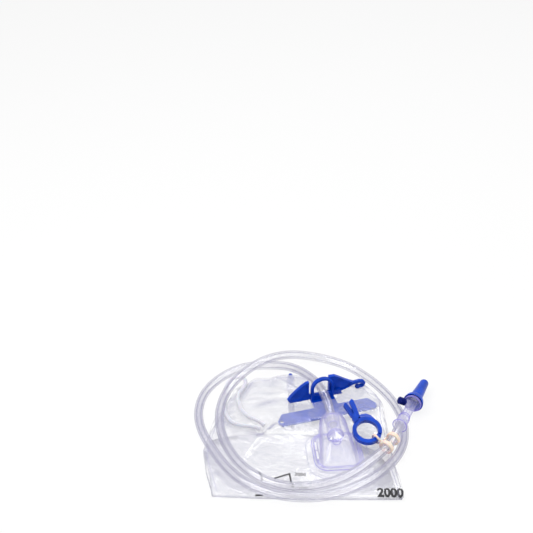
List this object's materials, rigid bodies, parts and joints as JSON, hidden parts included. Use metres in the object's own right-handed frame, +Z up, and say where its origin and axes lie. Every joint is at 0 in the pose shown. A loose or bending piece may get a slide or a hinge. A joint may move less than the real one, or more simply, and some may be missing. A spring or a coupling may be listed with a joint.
{
  "type": "urine drainage bag",
  "caption": "Clear vinyl drainage bag folded once, with hanger, drip chamber, inlet hose, sheet clip, capped connector and drain valve.",
  "frame": {"origin": "on the table, under the middle of the folded bag without its free cords", "axes": "+Z up from the table, +Y from the folded front edge towards the hanger side, +X to the right seen from the front"},
  "size_m": [0.2716, 0.2421, 0.04],
  "materials": {
    "clear_film": "clear soft vinyl film",
    "clear_moulding": "clear rigid moulding",
    "clear_hose": "clear soft vinyl tube",
    "blue_moulding": "satin moulded",
    "blue_rubber": "matt",
    "peach_rubber": "matt elastic",
    "white_rope": "twisted cord",
    "vent_membrane": "matt filter sheet"
  },
  "bodies": {
    "bag": {"film_front": "clear_film", "film_back": "clear_film", "hanger": "blue_moulding", "chamber_shell": "clear_moulding", "chamber_back_plate": "clear_moulding", "anti_reflux_flap": "clear_film", "vent_membrane_1": "vent_membrane", "vent_membrane_2": "vent_membrane", "drip_nozzle": "clear_moulding", "hose": "clear_hose", "hanging_rope": "white_rope", "connector": "clear_moulding", "sampling_septum": "blue_rubber", "drain_fitment": "clear_moulding", "drain_tube": "clear_hose", "valve_body": "clear_moulding"},
    "cap": {"protective_cap": "blue_moulding"},
    "band": {"rubber_band": "peach_rubber"},
    "clip": {"sheet_clip": "blue_moulding"},
    "slider": {"valve_slider": "blue_moulding"}
  },
  "joints": [
    {"name": "cap_slide", "type": "slide", "parent": "bag", "child": "cap", "axis": [0.4285, 0.8984, -0.0958], "range_m": [0, 0.03]},
    {"name": "band_turn", "type": "hinge", "parent": "bag", "child": "band", "pos_m": [0.09673, -0.031, 0.01775], "axis": [0.5785, 0.8129, 0.0669], "range_deg": [0, 35]},
    {"name": "clip_swing", "type": "hinge", "parent": "band", "child": "clip", "pos_m": [0.0833, -0.02248, 0.01478], "axis": [0.7431, 0.6399, 0.1956], "range_deg": [0, 45]},
    {"name": "drain_slide", "type": "slide", "parent": "bag", "child": "slider", "axis": [0, 1, 0], "range_m": [0, 0.005]}
  ]
}
